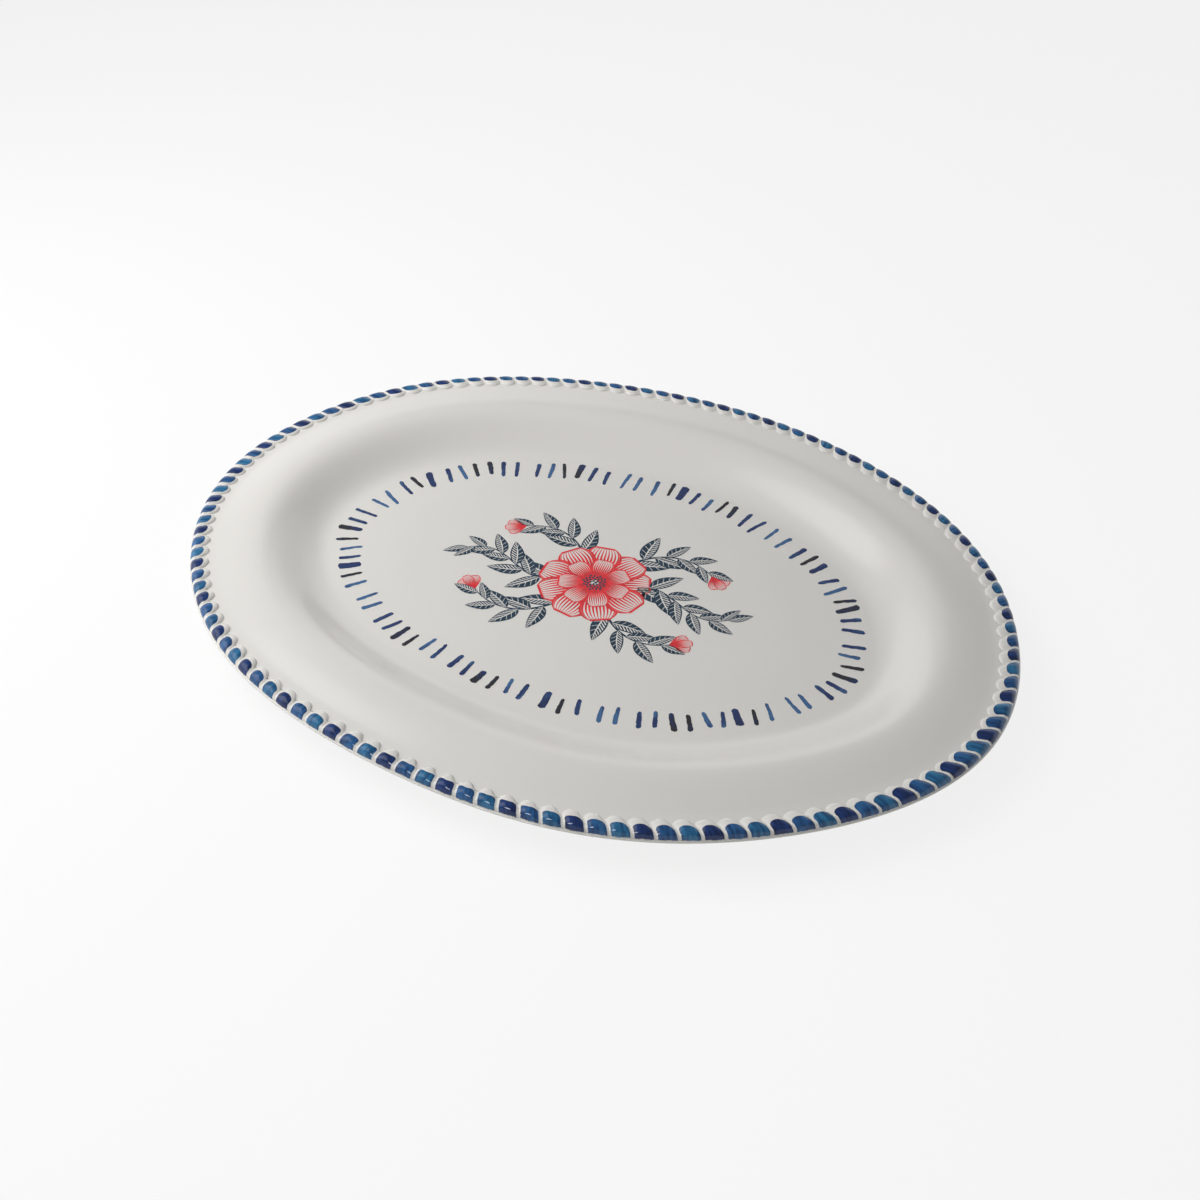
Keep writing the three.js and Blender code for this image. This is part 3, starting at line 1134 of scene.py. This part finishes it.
floor_half = floor_size / 2
floor_mesh = bpy.data.meshes.new("studio_floor")
floor_corners = [(x * floor_half, y * floor_half, 0) for x, y in ((-1, -1), (1, -1), (1, 1), (-1, 1))]
floor_mesh.from_pydata(floor_corners, [], [(0, 1, 2, 3)])
studio_floor = placed("studio_floor", floor_mesh)


def seen_ray(tree):
    """One where a ray is seen directly, in a gloss or through glass."""
    path = add_node(tree, "ShaderNodeLightPath").outputs
    seen = maths(tree, "MAXIMUM", path["Is Camera Ray"], path["Is Glossy Ray"])
    return maths(tree, "MAXIMUM", seen, path["Is Transmission Ray"])


paper = bpy.data.materials.new("studio_paper")
paper.use_nodes = True
paper_tree = paper.node_tree
paper_tree.nodes.clear()
paper_matte = add_node(paper_tree, "ShaderNodeBsdfDiffuse", {"Color": paper_grey})
paper_white = add_node(paper_tree, "ShaderNodeEmission", {"Color": white, "Strength": 1.0})
paper_share = maths(paper_tree, "MULTIPLY", seen_ray(paper_tree), paper_glow)
paper_mix = add_node(paper_tree, "ShaderNodeMixShader", {
    0: paper_share, 1: paper_matte.outputs["BSDF"], 2: paper_white.outputs["Emission"]})
add_node(paper_tree, "ShaderNodeOutputMaterial", {"Surface": paper_mix.outputs["Shader"]})
floor_mesh.materials.append(paper)

room = bpy.data.worlds.new("white_room")
room.use_nodes = True
bpy.context.scene.world = room
room_tree = room.node_tree
room_tree.nodes.clear()
room_soft = add_node(room_tree, "ShaderNodeBackground", {"Color": white, "Strength": room_level})
room_white = add_node(room_tree, "ShaderNodeBackground", {"Color": white, "Strength": 1.0})
room_up = split(room_tree, add_node(room_tree, "ShaderNodeTexCoord").outputs["Generated"])["Z"]
backdrop = ramp(room_tree, room_up, backdrop_top, backdrop_full)
backdrop = maths(room_tree, "MULTIPLY", seen_ray(room_tree), backdrop)
room_mix = add_node(room_tree, "ShaderNodeMixShader", {
    0: backdrop, 1: room_soft.outputs["Background"], 2: room_white.outputs["Background"]})
add_node(room_tree, "ShaderNodeOutputWorld", {"Surface": room_mix.outputs["Shader"]})


def towards(azimuth, elevation):
    """The direction from the platter to something at that bearing and height, in degrees."""
    azimuth = math.radians(azimuth)
    elevation = math.radians(elevation)
    level = math.cos(elevation)
    return Vector((level * math.cos(azimuth), level * math.sin(azimuth), math.sin(elevation)))


def soft_box(name, azimuth, elevation, distance, size, power, lights=True, shines=True):
    """A lamp behind a square diffuser that is bright in its middle and fades out at its edges."""
    lamp = bpy.data.lights.new(name, "AREA")
    lamp.shape = "SQUARE"
    lamp.size = size
    lamp.energy = power
    lamp.use_nodes = True
    tree = lamp.node_tree
    spot = split(tree, add_node(tree, "ShaderNodeNewGeometry").outputs["Parametric"])
    fades = []
    for axis in ("X", "Y"):
        away = maths(tree, "MULTIPLY_ADD", spot[axis], 2.0, -1.0)
        dim = maths(tree, "POWER", away, box_fade)
        fades.append(maths(tree, "MULTIPLY_ADD", dim, -box_peak, box_peak))
    tree.links.new(maths(tree, "MULTIPLY", *fades), tree.nodes["Emission"].inputs["Strength"])
    box = placed(name, lamp)
    direction = towards(azimuth, elevation)
    box.location = direction * distance
    box.rotation_euler = direction.to_track_quat("Z", "Y").to_euler()
    box.visible_diffuse = lights
    box.visible_glossy = shines


soft_box("left_soft_box", 198, 46, distance=0.76, size=0.75, power=4.35, shines=False)
soft_box("left_sheen", 196, 43, distance=0.76, size=0.75, power=2.4, lights=False)
soft_box("glint_card", 258, 45, distance=0.9, size=0.26, power=1.7, lights=False)

camera_data = bpy.data.cameras.new("photo_camera")
camera_data.sensor_width = sensor_width
camera_data.lens = focal_pixels / image_pixels * sensor_width
camera_data.clip_start = 10 * mm
camera = placed("photo_camera", camera_data)
level = math.cos(view_elevation)
back = Vector((math.sin(view_azimuth) * level, -math.cos(view_azimuth) * level, math.sin(view_elevation)))
right = Vector((math.cos(view_azimuth), math.sin(view_azimuth), 0))
up = back.cross(right)
rolled_right = right * math.cos(view_roll) - up * math.sin(view_roll)
rolled_up = right * math.sin(view_roll) + up * math.cos(view_roll)
camera.matrix_world = Matrix.Translation(view_target + back * view_distance) @ Matrix(
    (rolled_right, rolled_up, back)).transposed().to_4x4()
bpy.context.scene.camera = camera
bpy.context.scene.view_settings.view_transform = "Standard"

for spent in guides:
    bpy.data.objects.remove(spent)
